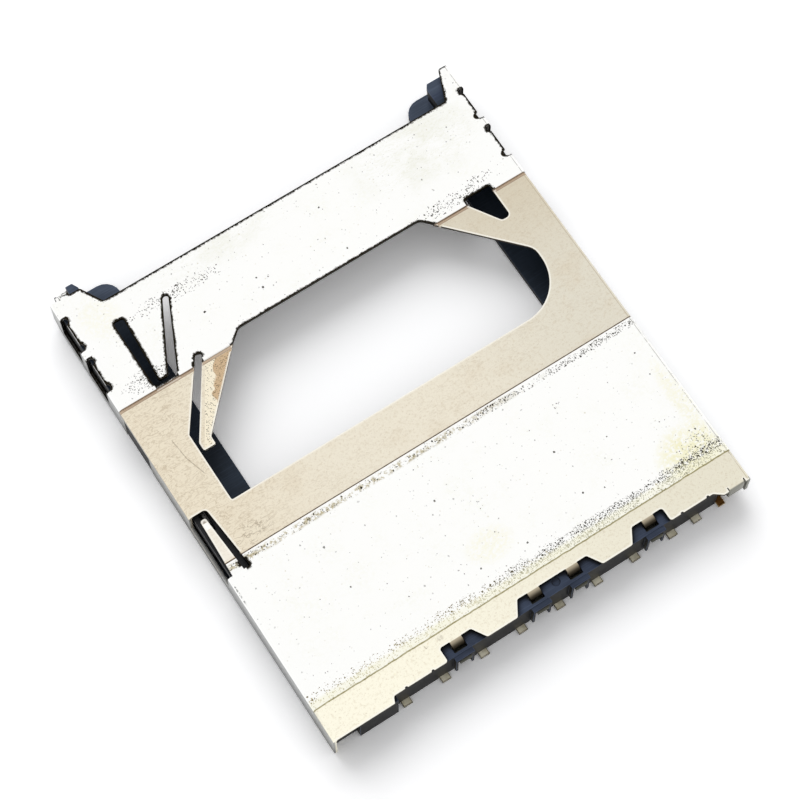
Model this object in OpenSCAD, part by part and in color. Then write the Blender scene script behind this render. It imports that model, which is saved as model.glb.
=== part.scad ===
// Push-push memory card socket: a folded sheet-metal shell over a moulded U-shaped frame,
// with spring contacts, two card switches and a sprung slider that a heart cam guides.
// Millimetres. The card goes in along +Y, its cut corner is on the +X side, +Z is up from the board.

/* [Overall] */
// Width over the shell's side walls
socket_w = 27.1; // [27:0.1:29]
// Length from the front of the rails to the rear edge of the shell
socket_l = 30.4; // [30.2:0.1:33]

/* [Card] */
// Width of the card
card_w = 24; // [23.6:0.1:24.1]
// Thickness of the card
card_t = 2.1; // [2:0.05:2.5]
// Thickness of the card's thinner side edges
card_edge_t = 1.4; // [1.2:0.05:1.45]
// Width of the cut across the card's corner
card_cut = 3.4; // [3:0.1:3.8]
// Room beside each edge of the card
card_side_gap = 0.05; // [0.02:0.01:0.1]
// Room between the card and the shell above it
card_head_gap = 0.05; // [0.03:0.01:0.15]

/* [Shell] */
// Thickness of the sheet
sheet_t = 0.2; // [0.16:0.01:0.24]
// Outside radius of every fold
fold_r = 0.24; // [0.22:0.02:0.4]
// Height of the front panel above the middle band
front_step = 0.1; // [0.04:0.02:0.14]
// Height of the rear panel above the middle band
rear_step = 0.05; // [0.02:0.01:0.1]
// Length over which the sheet doubles up at each step
step_lap = 0.1; // [0.06:0.02:0.2]
// Length of the front panel, with the ears
front_panel_l = 8.25; // [8.15:0.05:8.4]
// Length of the rear panel
rear_panel_l = 9.45; // [8.5:0.05:9.6]
// Length of the low strip behind the rear panel
rear_strip_l = 2; // [1.7:0.05:2.2]
// Gap between the side walls and the board
wall_lift = 0.15; // [0.1:0.05:0.3]
// Bevel at the lower front corner of each side wall
wall_bevel = 0.8; // [0.4:0.1:1.2]
// Depth of the card mouth between the ears
mouth_depth = 2.02; // [1.8:0.02:2.2]

/* [Shell window] */
// Front edge of the window, from the front of the socket
window_front = 7.57; // [7.5:0.01:7.65]
// Rear edge of the window, from the front of the socket
window_rear = 15.98; // [15.5:0.02:16.4]
// Width of the sheet left between the window and the wall on the slider side
window_left = 2.59; // [2.45:0.01:2.7]
// Width of the sheet left between the window and the wall on the switch side
window_right = 2.24; // [1.95:0.01:2.75]
// Radius of the window's large corner
window_r = 2.8; // [1.5:0.1:3]

/* [Shell tongues] */
// Width of the slots beside the tongues
slot_w = 0.36; // [0.3:0.02:0.42]
// How far the brake tongue dips
brake_dip = 0.25; // [0.1:0.01:0.3]
// How far the pad tongue dips
pad_dip = 0.3; // [0.1:0.01:0.4]
// How far the pin tongue dips
pin_dip = 0.13; // [0.08:0.01:0.16]

/* [Rear tabs] */
// Width of each bent-down tab
tab_w = 0.74; // [0.6:0.02:0.8]
// Depth of the relief notches beside the tabs
relief_d = 0.86; // [0.7:0.02:0.92]
// Length of the foot that is clinched under a bar of the frame, from the face of the tab
tab_foot_l = 0.73; // [0.6:0.01:0.78]

/* [Frame] */
// Thickness of the floor that carries the card
floor_t = 0.4; // [0.35:0.05:0.6]
// Width of the floor ledge on the slider side
ledge_left_w = 3.85; // [3.2:0.05:3.9]
// Width of the floor ledge on the switch side
ledge_right_w = 2.85; // [2.2:0.05:2.88]
// Corner radius at the front of each ledge
ledge_r = 1; // [0.4:0.1:1.2]
// Length of the rear floor that holds the contacts
rear_floor_l = 7.7; // [7.2:0.1:8.5]
// Thickness of the rear wall
rear_wall_t = 1.3; // [1.25:0.05:1.5]
// Overhang of the shell behind the rear wall
rear_overhang = 0.45; // [0.42:0.01:0.5]
// Clearance between the frame and the shell
shell_gap = 0.05; // [0.03:0.01:0.06]

/* [Contacts] */
// Spacing of the contacts
pitch = 2.5; // [2.45:0.01:2.52]
// Spacing of the last two contacts
end_pitch = 1.64; // [1.5:0.02:1.7]
// Thickness of the contact strip
contact_t = 0.15; // [0.1:0.01:0.18]
// Width of a solder tail
tail_w = 0.57; // [0.4:0.01:0.65]
// Height of a contact's crown above the floor
crown_h = 0.55; // [0.3:0.05:0.7]
// Clearance around each contact in the frame
contact_gap = 0.03; // [0.02:0.01:0.06]

/* [Slider and spring] */
// Travel of the slider from its front stop to the end of the push
travel = 5; // [3.5:0.1:5.2]
// Length of the slider's cam block
cam_block_l = 7; // [6.9:0.1:7.4]
// Running clearance around the slider
slide_gap = 0.05; // [0.03:0.01:0.06]
// Diameter of the coil spring
spring_d = 0.9; // [0.8:0.02:0.94]
// Diameter of the spring wire
spring_wire = 0.15; // [0.1:0.01:0.16]
// Turns of the spring
spring_turns = 16; // [12:1:20]

/* [Cam pin] */
// Diameter of the pin's wire
pin_d = 0.24; // [0.2:0.01:0.26]
// Length of the pin between its two bent ends
pin_l = 7.1; // [6.9:0.05:7.2]
// Sideways swing of the pin's tip over the whole travel
pin_swing = 0.28; // [0.2:0.01:0.28]
// Depth of the cam track
track_d = 0.35; // [0.25:0.05:0.45]

/* [Hidden] */
contact_ids = [1, 2, 3, 4, 5, 6, 7, 8, 9];
$fn = 32;

// Overlap of solids that are joined, and overshoot of cuts
joint_lap = 0.1;
overcut = 1;

// Lines along the socket
front_y = -socket_l / 2;
rear_y = socket_l / 2;
mouth_y = front_y + mouth_depth;
step_front_y = front_y + front_panel_l;
step_rear_y = rear_y - rear_strip_l;
step_mid_y = step_rear_y - rear_panel_l;
wall_rear_y = rear_y - rear_overhang;
wall_front_y = wall_rear_y - rear_wall_t;
floor_front_y = wall_front_y - rear_floor_l;

// Levels above the board
under_z = floor_t + card_t + card_head_gap;
band_z = under_z + sheet_t;
front_z = band_z + front_step;
panel_z = band_z + rear_step;
frame_z = under_z - shell_gap;
above_z = front_z + overcut;
edge_z = floor_t + card_edge_t + card_side_gap;

// Lines across the socket
half_w = socket_w / 2;
frame_x = half_w - sheet_t - shell_gap;
channel_x = card_w / 2 + card_side_gap;
ledge_left_x = frame_x - ledge_left_w;
ledge_right_x = -frame_x + ledge_right_w;
bay_mid_x = (channel_x + frame_x) / 2;

// Places of the contacts across the card, counted from its cut corner, where the ninth lies;
// the middle of the row is midway between the third and the fourth
corner_id = 9;
end_id = 8;
row_mid = 3.5;
function contact_x(id) =
    id == corner_id ? row_mid * pitch
    : id == end_id ? contact_x(end_id - 1) - end_pitch
    : (row_mid - id) * pitch;

// Outline maths: a list of [x, y, radius] corners becomes a list of points
fine_arc = 6;
coarse_arc = 18;
large_r = 1;
function unit(v) = v / norm(v);
function flat(p) = [p.x, p.y];
function turn(a) = a > 180 ? a - 360 : a < -180 ? a + 360 : a;
function heading(v) = atan2(v.y, v.x);
function fillet(a, p, b, r) =
    let (
        in_dir = unit(flat(a) - flat(p)),
        out_dir = unit(flat(b) - flat(p)),
        half = acos(in_dir * out_dir) / 2,
        centre = flat(p) + unit(in_dir + out_dir) * r / sin(half),
        from = heading(flat(p) + in_dir * r / tan(half) - centre),
        to = heading(flat(p) + out_dir * r / tan(half) - centre),
        sweep = turn(to - from),
        steps = ceil(abs(sweep) / (r > large_r ? fine_arc : coarse_arc))
    )
    [for (k = [0 : steps]) centre + r * [cos(from + sweep * k / steps), sin(from + sweep * k / steps)]];
function rounded(pts) = [
    for (i = [0 : len(pts) - 1])
        let (p = pts[i], a = pts[(i + len(pts) - 1) % len(pts)], b = pts[(i + 1) % len(pts)])
        each (len(p) < 3 || p[2] == 0 ? [flat(p)] : fillet(a, p, b, p[2]))
];

// A strip of even thickness along a path, as an outline
function normal(a, b) = let (d = unit(b - a)) [-d.y, d.x];
function mitre(path, i) =
    let (
        last = len(path) - 1,
        n0 = i == 0 ? normal(path[0], path[1]) : normal(path[i - 1], path[i]),
        n1 = i == last ? normal(path[last - 1], path[last]) : normal(path[i], path[i + 1])
    )
    (n0 + n1) / (1 + n0 * n1);
function ribbon(path, t) = concat(
    [for (i = [0 : len(path) - 1]) path[i] + mitre(path, i) * t / 2],
    [for (i = [len(path) - 1 : -1 : 0]) path[i] - mitre(path, i) * t / 2]
);

// Prisms on an outline in plan, in side view and in front view
module upright(pts, z0, z1) {
    translate([0, 0, z0])
        linear_extrude(z1 - z0)
            polygon(pts);
}
module across(pts, x0, x1) {
    translate([x0, 0, 0])
        rotate([90, 0, 90])
            linear_extrude(x1 - x0)
                polygon(pts);
}
module lengthwise(pts, y0, y1) {
    translate([0, y1, 0])
        rotate([90, 0, 0])
            linear_extrude(y1 - y0)
                polygon(pts);
}
module box(x0, x1, y0, y1, z0, z1) {
    translate([x0, y0, z0])
        cube([x1 - x0, y1 - y0, z1 - z0]);
}

// Places on the sheet, measured inwards from the wall on the slider or the switch side
function from_left(d) = half_w - d;
function from_right(d) = d - half_w;

// Shell: ears beside the card mouth
ear_left_root = 2.7;
ear_left_tip = 1.95;
ear_left_set = 0.65;
ear_right_root = 1.42;
ear_right_tip = 0.6;
ear_right_set = 0.05;
ear_r = 0.15;
hook_in = 0.45;
hook_w = 0.8;
hook_set = 0.3;
hook_z = 1.9;
hook_x1 = from_left(hook_in);
hook_x0 = hook_x1 - hook_w;

module mouth_cut() {
    upright(rounded([
        [half_w + overcut, front_y - overcut],
        [half_w + overcut, front_y + ear_left_set],
        [from_left(ear_left_tip), front_y + ear_left_set, ear_r],
        [from_left(ear_left_root), mouth_y, ear_r],
        [from_right(ear_right_root), mouth_y, ear_r],
        [from_right(ear_right_tip), front_y + ear_right_set, ear_r],
        [-half_w - overcut, front_y + ear_right_set],
        [-half_w - overcut, front_y - overcut]
    ]), wall_lift - overcut, above_z);
}

// A short hook folded down over the front of the rail
module front_hook() {
    hook_y = front_y + hook_set;
    back_y = front_y + ear_left_set + joint_lap;
    across(rounded([
        [back_y, front_z],
        [hook_y, front_z, fold_r],
        [hook_y, hook_z],
        [hook_y + sheet_t, hook_z],
        [hook_y + sheet_t, front_z - sheet_t, fold_r - sheet_t],
        [back_y, front_z - sheet_t]
    ]), hook_x0, hook_x1);
}

// Shell: relief slots through the fold, with drilled ends
relief_slot_l = 2.28;
relief_slot_y = [1.75, 4.62];
relief_slot_in = 0.22;
relief_end_in = 0.18;
relief_end_r = 0.22;
relief_slot_depth = 1.8;

module fold_slots(side) {
    slot_z = front_z - relief_slot_depth;
    for (y = relief_slot_y) {
        y0 = front_y + y + relief_end_r;
        y1 = front_y + y + relief_slot_l - relief_end_r;
        inner_x = side * (half_w - relief_slot_in);
        outer_x = side * (half_w + overcut);
        box(min(inner_x, outer_x), max(inner_x, outer_x), y0, y1, slot_z, above_z);
        for (end_y = [y0, y1])
            translate([side * (half_w - relief_end_in), end_y, slot_z])
                cylinder(r = relief_end_r, h = above_z - slot_z);
    }
}

// Shell: brake tongue in a V-shaped slot, rooted at the front
brake_root = 3.7;
brake_tip = 7.8;
brake_end = 8.12;
brake_in = [2.44, 3.06, 2.87, 3.45, 5.55, 5.93, 3.87];
brake_x = [for (d = brake_in) from_left(d)];
brake_r = 0.15;

module brake_slot() {
    root_y = front_y + brake_root;
    upright(rounded([
        [brake_x[0], root_y - slot_w / 2, brake_r],
        [brake_x[1], root_y - slot_w / 2, brake_r],
        [brake_x[1], root_y],
        [brake_x[4], root_y],
        [brake_x[4] - brake_r, root_y - slot_w / 4, brake_r],
        [brake_x[5], root_y, brake_r],
        [brake_x[6], front_y + brake_end, brake_r],
        [brake_x[0], front_y + brake_end, 2 * brake_r]
    ]), under_z - overcut, above_z);
}
module brake_tongue() {
    root_y = front_y + brake_root;
    tip_y = front_y + brake_tip;
    tongue(
        [
            [brake_x[1], root_y - joint_lap],
            [brake_x[4], root_y - joint_lap],
            [brake_x[4], root_y],
            [brake_x[3], tip_y, brake_r],
            [brake_x[2], tip_y, brake_r],
            [brake_x[1], root_y]
        ],
        [[root_y - joint_lap, front_z], [root_y, front_z], [tip_y, front_z - brake_dip]]
    );
}

// A tongue is a plan outline cut from a bent strip, given by the line of its top face
module tongue(plan, top) {
    strip = concat(top, [for (i = [len(top) - 1 : -1 : 0]) [top[i].x, top[i].y - sheet_t]]);
    xs = [for (p = plan) p.x];
    intersection() {
        upright(rounded(plan), under_z - overcut, above_z);
        across(strip, min(xs) - joint_lap, max(xs) + joint_lap);
    }
}

// Shell: window with the pad tongue reaching into its corner
window_nook_y = 11.5;
window_slant = [6.82, 12.53];
window_front_in = 8.2;
window_nook_r = 0.1;
window_front_r = 0.5;
window_bow_r = 0.9;
window_left_x = from_left(window_left);
window_right_x = from_right(window_right);
pad_root = 8.2;
pad_root_in = [5.42, 7.45];
pad_root_x = [for (d = pad_root_in) from_left(d)];
pad_slot_in = 5.32;
pad_slot_x = from_left(pad_slot_in);
pad_slot_top = 7.63;
pad_neck = 12.12;
pad_tip = 12.63;
pad_tip_in = [2.82, 3.6];
pad_tip_x = [for (d = pad_tip_in) from_left(d)];
pad_r = 0.1;

module window_cut() {
    root_y = front_y + pad_root;
    upright(rounded([
        [pad_slot_x, front_y + pad_slot_top, pad_r],
        [pad_slot_x - slot_w, front_y + pad_slot_top + pad_r, pad_r],
        [pad_root_x[0], root_y],
        [pad_root_x[1], root_y],
        [from_left(window_front_in), front_y + window_front, window_front_r],
        [from_right(window_slant.x), front_y + window_front, window_front_r],
        [window_right_x, front_y + window_slant.y, window_bow_r],
        [window_right_x, front_y + window_rear, window_r],
        [window_left_x, front_y + window_rear, window_nook_r],
        [window_left_x, front_y + window_nook_y, window_nook_r]
    ]), under_z - overcut, above_z);
}
module pad_tongue() {
    root_y = front_y + pad_root;
    neck_y = front_y + pad_neck;
    tip_y = front_y + pad_tip;
    low_z = band_z - pad_dip;
    start_y = root_y - joint_lap / 2;
    tongue(
        [
            [pad_root_x[0], start_y],
            [pad_root_x[1], start_y],
            [pad_root_x[1], root_y],
            [pad_tip_x[1], neck_y, pad_r],
            [pad_tip_x[1], tip_y, pad_r],
            [pad_tip_x[0], tip_y, pad_r],
            [pad_tip_x[0], neck_y, pad_r],
            [pad_root_x[0], root_y]
        ],
        [[start_y, band_z + front_step / 2], [root_y, band_z + front_step / 2],
            [neck_y, low_z], [tip_y, low_z]]
    );
}

// Shell: three-cornered hole on the switch side
hole_front = 7.87;
hole_rear = 10.07;
hole_in = [3.96, 2.8];
hole_x = [from_right(hole_in[0]), window_right_x, from_right(hole_in[1])];
hole_slant = 8.25;
hole_r = [0.2, 0.1, 0.25];

module corner_hole() {
    upright(rounded([
        [hole_x[0], front_y + hole_front, hole_r[0]],
        [hole_x[1], front_y + hole_front, hole_r[1]],
        [hole_x[1], front_y + hole_rear, hole_r[2]],
        [hole_x[2], front_y + hole_rear, hole_r[2]],
        [hole_x[0], front_y + hole_slant, hole_r[1]]
    ]), under_z - overcut, above_z);
}

// Shell: pin tongue over the cam, cut out of the fold and rooted at the rear
pin_slot_front = 15.67;
pin_slot_rear = 19.72;
pin_tip = 16.08;
pin_curl = 16.3;
pin_bend = 16.7;
pin_tip_in = [0.48, 0.84];
pin_tip_x = [for (d = pin_tip_in) from_left(d)];
pin_root_in = [0.36, 1.08];
pin_root_x = [for (d = pin_root_in) from_left(d)];
pin_slot_in = [1.1, 1.48];
pin_slot_x = [for (d = pin_slot_in) from_left(d)];
pin_slot_depth = 1.6;
pin_r = 0.12;

module pin_slot() {
    slot_y = front_y + pin_slot_front;
    root_y = front_y + pin_slot_rear;
    upright(rounded([
        [half_w + overcut, slot_y],
        [half_w + overcut, root_y],
        [pin_slot_x[1], root_y, pin_r],
        [pin_slot_x[0], slot_y, 2 * pin_r]
    ]), band_z - pin_slot_depth, above_z);
}
module pin_tongue() {
    root_y = front_y + pin_slot_rear;
    tip_y = front_y + pin_tip;
    bend_y = front_y + pin_bend;
    tongue(
        [
            [pin_root_x[0], root_y + joint_lap],
            [pin_tip_x[0], tip_y, pin_r],
            [pin_tip_x[1], tip_y, pin_r],
            [pin_root_x[1], root_y + joint_lap]
        ],
        [[tip_y, band_z - pin_dip / 2], [front_y + pin_curl, band_z - pin_dip], [bend_y, band_z - pin_dip],
            [root_y, band_z + rear_step / 2], [root_y + joint_lap, band_z + rear_step / 2]]
    );
}

// Shell: rear edge, its reliefs and its four bent tabs between the contacts
tab_ids = [1, 3, 4, 6];
tab_set = 0.05;
tab_x = [for (id = tab_ids) (contact_x(id) + contact_x(id + 1)) / 2 + tab_set];
tab_r = 0.34;
relief_side = 1;
relief_slant = 0.53;
relief_r = 0.15;
corner_left = 3.88;
corner_left_slant = 0.17;
corner_right = 1.8;
corner_right_slant = 0.5;
edge_set = 0.38;
edge_y = rear_y - edge_set;
tab_back = 0.8;
tab_y = rear_y - tab_back;
nick_left_in = [4.86, 6.55];
nick_right_in = [2.62, 4.33];
nick_r = 0.09;
nick_x = concat([for (d = nick_left_in) from_left(d)], [for (d = nick_right_in) from_right(d)]);
flap_in = 0.4;
flap_w = 1;
flap_h = 1.1;
flap_space = 0.06;
flap_x0 = from_right(flap_in);
flap_x1 = from_right(flap_in + flap_w);
wall_end_l = 1.2;
wall_end_z = 0.95;

// Each relief runs from one x to another, with a slanted or a straight end
relief_runs = [
    [tab_x[0] + relief_side, tab_x[0] - relief_side, 0, relief_slant],
    [tab_x[1] + relief_side, tab_x[2] - relief_side, relief_slant, relief_slant],
    [tab_x[3] + relief_side, tab_x[3] - relief_side, relief_slant, 0]
];

// The edge steps forward between the corners, with small nicks where a carrier strip was cut off
module rear_cut() {
    upright(rounded(concat(
        [
            [from_left(corner_left), rear_y + overcut],
            [from_left(corner_left), rear_y],
            [from_left(corner_left + corner_left_slant), edge_y, relief_r]
        ],
        [for (run = relief_runs) each [
            [run[0] + run[2], edge_y, relief_r],
            [run[0], edge_y - relief_d, relief_r],
            [run[1], edge_y - relief_d, relief_r],
            [run[1] - run[3], edge_y, relief_r]
        ]],
        [
            [from_right(corner_right + corner_right_slant), edge_y, relief_r],
            [from_right(corner_right), rear_y],
            [from_right(corner_right), rear_y + overcut]
        ]
    )), under_z - overcut, above_z);
    for (x = nick_x)
        translate([x, edge_y, under_z - overcut])
            cylinder(r = nick_r, h = above_z - under_z + overcut);
}

// Each tab goes down in front of a bar of the frame and is clinched under it
module rear_tab(x) {
    start_y = edge_y - relief_d - joint_lap;
    foot_z = bar_low - shell_gap;
    across(rounded([
        [start_y, band_z],
        [tab_y, band_z, tab_r],
        [tab_y, foot_z, tab_r - sheet_t],
        [tab_y + tab_foot_l, foot_z],
        [tab_y + tab_foot_l, foot_z - sheet_t],
        [tab_y - sheet_t, foot_z - sheet_t, tab_r],
        [tab_y - sheet_t, under_z, tab_r - sheet_t],
        [start_y, under_z]
    ]), x - tab_w / 2, x + tab_w / 2);
}

// A flap folded down at the rear corner on the switch side, where the wall ends short of the board
module flap_cut() {
    box(flap_x0 - flap_space, flap_x1 + flap_space, rear_y - fold_r, rear_y + overcut,
        under_z - overcut, above_z);
    box(from_right(-overcut), from_right(sheet_t + shell_gap / 2), rear_y - wall_end_l, rear_y + overcut,
        wall_lift - overcut, wall_end_z);
}
module corner_flap() {
    start_y = rear_y - fold_r - joint_lap;
    across(rounded([
        [start_y, band_z],
        [rear_y, band_z, fold_r],
        [rear_y, band_z - flap_h],
        [rear_y - sheet_t, band_z - flap_h],
        [rear_y - sheet_t, under_z, fold_r - sheet_t],
        [start_y, under_z]
    ]), flap_x0, flap_x1);
}

// Shell: openings in the side walls where the frame's lugs show
lug_front = 8.75;
lug_l = 2.6;
lug_top = 0.1;
lug_gap = 0.05;

module wall_cuts(side) {
    inner_x = side * (half_w - sheet_t - shell_gap / 2);
    outer_x = side * (half_w + overcut);
    x0 = min(inner_x, outer_x);
    x1 = max(inner_x, outer_x);
    y0 = front_y + lug_front - lug_gap;
    box(x0, x1, y0, y0 + lug_l + 2 * lug_gap, wall_lift - overcut, under_z - lug_top + lug_gap);
    across([
        [front_y - overcut, wall_lift + wall_bevel + overcut + ear_left_set],
        [front_y + ear_left_set + wall_bevel, wall_lift],
        [front_y - overcut, wall_lift - overcut]
    ], x0, x1);
}

// One zone of the folded sheet, with its top face at a given level
module sheet_zone(y0, y1, top) {
    in_w = half_w - sheet_t;
    in_r = fold_r - sheet_t;
    lengthwise(rounded([
        [-half_w, wall_lift],
        [-half_w, top, fold_r],
        [half_w, top, fold_r],
        [half_w, wall_lift],
        [in_w, wall_lift],
        [in_w, top - sheet_t, in_r],
        [-in_w, top - sheet_t, in_r],
        [-in_w, wall_lift]
    ]), y0, y1);
}

module shell() {
    color("gainsboro") {
        difference() {
            union() {
                sheet_zone(front_y, step_front_y, front_z);
                sheet_zone(step_front_y - step_lap, step_mid_y + step_lap, band_z);
                sheet_zone(step_mid_y, step_rear_y, panel_z);
                sheet_zone(step_rear_y - step_lap, rear_y, band_z);
            }
            mouth_cut();
            brake_slot();
            window_cut();
            corner_hole();
            pin_slot();
            rear_cut();
            flap_cut();
            for (side = [-1, 1]) {
                fold_slots(side);
                wall_cuts(side);
            }
        }
        front_hook();
        brake_tongue();
        pad_tongue();
        pin_tongue();
        corner_flap();
        for (x = tab_x)
            rear_tab(x);
    }
}

// Contacts: spring beams with a crown under the card's pads and a tail at the rear
lead_ids = [3, 4, 6];
crown_back = 3.9;
crown_lead = 0.5;
crown_set = 1.1;
function crown_y(id) =
    wall_front_y - crown_back
    - (id == corner_id ? crown_set : len(search(id, lead_ids)) > 0 ? crown_lead : 0);
tail_out = 0.36;
beam_root_w = 0.9;
beam_tip_w = 0.5;
beam_nose = 0.8;
beam_drop = 0.35;
beam_base = 0.35;
crown_r = 0.35;

module contact(id) {
    x = contact_x(id);
    mid = contact_t / 2;
    tip_y = crown_y(id);
    tail_y = wall_rear_y + tail_out;
    crown_z = floor_t + crown_h - mid;
    nose_y = tip_y - beam_nose;
    path = [
        [tail_y, mid],
        [wall_front_y - beam_base, mid],
        [tip_y + crown_r, crown_z - crown_r / 4],
        [tip_y, crown_z],
        [tip_y - crown_r, crown_z - crown_r / 4],
        [nose_y, crown_z - beam_drop]
    ];
    color("khaki")
        intersection() {
            across(ribbon(path, contact_t), x - beam_root_w / 2, x + beam_root_w / 2);
            upright([
                [x - tail_w / 2, tail_y + overcut],
                [x - tail_w / 2, wall_front_y],
                [x - beam_root_w / 2, wall_front_y - beam_base],
                [x - beam_tip_w / 2, tip_y],
                [x - beam_tip_w / 2, nose_y - overcut],
                [x + beam_tip_w / 2, nose_y - overcut],
                [x + beam_tip_w / 2, tip_y],
                [x + beam_root_w / 2, wall_front_y - beam_base],
                [x + tail_w / 2, wall_front_y],
                [x + tail_w / 2, tail_y + overcut]
            ], -overcut, above_z);
        }
}

// Switches: two spring leaves in the rail, and a common strip behind them
leaf_t = 0.12;
leaf_gap = 0.05;
leaf_in = 0.25;
leaf_space = 0.3;
leaf_root = 0.6;
protect_x = -channel_x - leaf_in;
detect_x = protect_x - leaf_space;
common_x = detect_x - leaf_space;
leaf_root_y = wall_front_y + leaf_root;
leaf_foot_l = 0.4;
detect_level = [1.45, 2.15];
protect_level = [0.6, 1.2];
detect_bump = 4.6;
protect_bump = 9.2;
bump_in = 0.25;
bump_l = 1.2;
terminal_out = 0.2;
terminal_w = 0.45;
terminal_x = [for (d = [terminal_w, 0]) terminal_out - channel_x - d];
terminal_z = 2;
common_low = 0.6;
common_front = 10.4;
switch_recess = 0.5;
common_y = wall_rear_y - switch_recess + leaf_gap + leaf_t / 2;
terminal_l = 0.7;
terminal_y = common_y + terminal_l;

module leaf(x, bump, level) {
    bump_y = wall_front_y - bump;
    path = [
        [x, leaf_root_y],
        [x, wall_front_y - leaf_gap],
        [protect_x, bump_y + 2 * bump_l],
        [-channel_x + bump_in, bump_y + bump_l / 4],
        [-channel_x + bump_in, bump_y - bump_l / 4],
        [-channel_x - leaf_gap, bump_y - bump_l]
    ];
    upright(ribbon(path, leaf_t), level[0], level[1]);
    box(x - leaf_t / 2, x + leaf_t / 2, leaf_root_y - leaf_foot_l, leaf_root_y, 0, level[0] + joint_lap);
}
module detect_arm() {
    color("darkkhaki")
        leaf(detect_x, detect_bump, detect_level);
}
module protect_arm() {
    color("darkkhaki")
        leaf(protect_x, protect_bump, protect_level);
}
module switch_common() {
    path = [
        [common_x, wall_front_y - common_front],
        [common_x, common_y],
        [terminal_x[1], common_y]
    ];
    color("peru") {
        upright(ribbon(path, leaf_t), common_low, terminal_z);
        box(terminal_x[0], terminal_x[1], common_y - leaf_t / 2, common_y + leaf_t / 2,
            0, common_low + joint_lap);
        box(terminal_x[0], terminal_x[1], common_y - leaf_t / 2, terminal_y, 0, leaf_t);
    }
}

// Cam pin: a wire with both ends bent down, one in the pivot and one in the track
pin_gap = 0.04;
pin_bend_r = 0.2;
pivot_clear = 0.03;
pivot_set = 9.35;
pivot_depth = 0.6;
pivot_y = front_y + pivot_set;
pin_end_y = pivot_y + pin_l;
pin_z = under_z - pin_dip - pin_gap - pin_d / 2;
cam_top_z = pin_z - pin_d / 2 - pin_gap;
track_z = cam_top_z - track_d;

module elbow() {
    rotate([90, 0, 90])
        rotate_extrude(angle = 90)
            translate([pin_bend_r, 0])
                circle(d = pin_d);
}
module cam_pin() {
    bend_z = pin_z - pin_bend_r;
    tip_z = track_z + pin_gap;
    color("silver")
        translate([bay_mid_x, 0, 0]) {
            translate([0, pivot_y, cam_top_z - pivot_depth + pin_gap])
                cylinder(d = pin_d, h = bend_z - cam_top_z + pivot_depth - pin_gap);
            translate([0, pivot_y + pin_bend_r, bend_z])
                rotate([90, 0, 0])
                    elbow();
            translate([0, pivot_y + pin_bend_r, pin_z])
                rotate([-90, 0, 0])
                    cylinder(d = pin_d, h = pin_l - 2 * pin_bend_r);
            translate([0, pin_end_y - pin_bend_r, bend_z])
                elbow();
            translate([0, pin_end_y, tip_z])
                cylinder(d = pin_d, h = bend_z - tip_z);
        }
}

// Slider: cam block in front, arm over the spring, foot behind the card's cut corner
block_end_set = 10.35;
block_end_y = front_y + block_end_set;
slider_rest = 0.4;
slider_low = floor_t + slide_gap;
slider_x0 = channel_x + slide_gap;
slider_x1 = frame_x - slide_gap;
slider_front_y = block_end_y + slider_rest;
cam_rear_y = slider_front_y + cam_block_l;
foot_stop = 0.1;
foot_rear_y = wall_front_y - foot_stop - travel;
foot_r = 0.3;
spring_axis_z = slider_low + slide_gap + spring_d / 2;
arm_low = spring_axis_z + spring_d / 2 + 2 * slide_gap;
peg_d = 0.4;
peg_l = 0.7;
track_side = 0.19;
track_back = 0.3;
track_return = 0.42;
track_fork = 3.2;
heart_tail = 1.6;
heart_head = 4.35;
heart_notch = 0.25;
heart_x = [-0.1, 0.06, -0.05, -0.14];

module cam_track() {
    translate([bay_mid_x, pin_end_y, 0])
        difference() {
            upright([
                [-track_side, track_back],
                [track_side, track_back],
                [pin_swing + track_side, -travel - track_back],
                [-track_return, -travel - track_back],
                [-track_return, -track_fork],
                [-track_side, -track_back]
            ], track_z, cam_top_z + overcut);
            upright([
                [heart_x[0], -heart_tail],
                [heart_x[1], -heart_head],
                [heart_x[2], -heart_head + heart_notch],
                [heart_x[3], -heart_head]
            ], track_z - overcut, cam_top_z + 2 * overcut);
        }
}
module slider() {
    inner_x = ledge_left_x + slide_gap;
    cut_y = foot_rear_y - card_cut;
    color("dimgray")
        difference() {
            union() {
                box(slider_x0, slider_x1, slider_front_y, cam_rear_y, slider_low, cam_top_z);
                box(slider_x0, slider_x1, cam_rear_y - joint_lap, foot_rear_y, arm_low, cam_top_z);
                upright(rounded([
                    [slider_x0 + slide_gap / 2, cut_y],
                    [inner_x, cut_y + slider_x0 - inner_x],
                    [inner_x, foot_rear_y, foot_r],
                    [slider_x0 + slide_gap / 2, foot_rear_y]
                ]), slider_low, cam_top_z);
                translate([bay_mid_x, cam_rear_y - joint_lap, spring_axis_z])
                    rotate([-90, 0, 0])
                        cylinder(d = peg_d, h = peg_l + joint_lap);
            }
            cam_track();
        }
}

// Eject spring: a wire helix swept between the slider and its seat in the rear wall
seat_depth = 0.75;
seat_y = wall_front_y + seat_depth;
spring_steps = 10;
spring_sides = 5;

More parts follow.
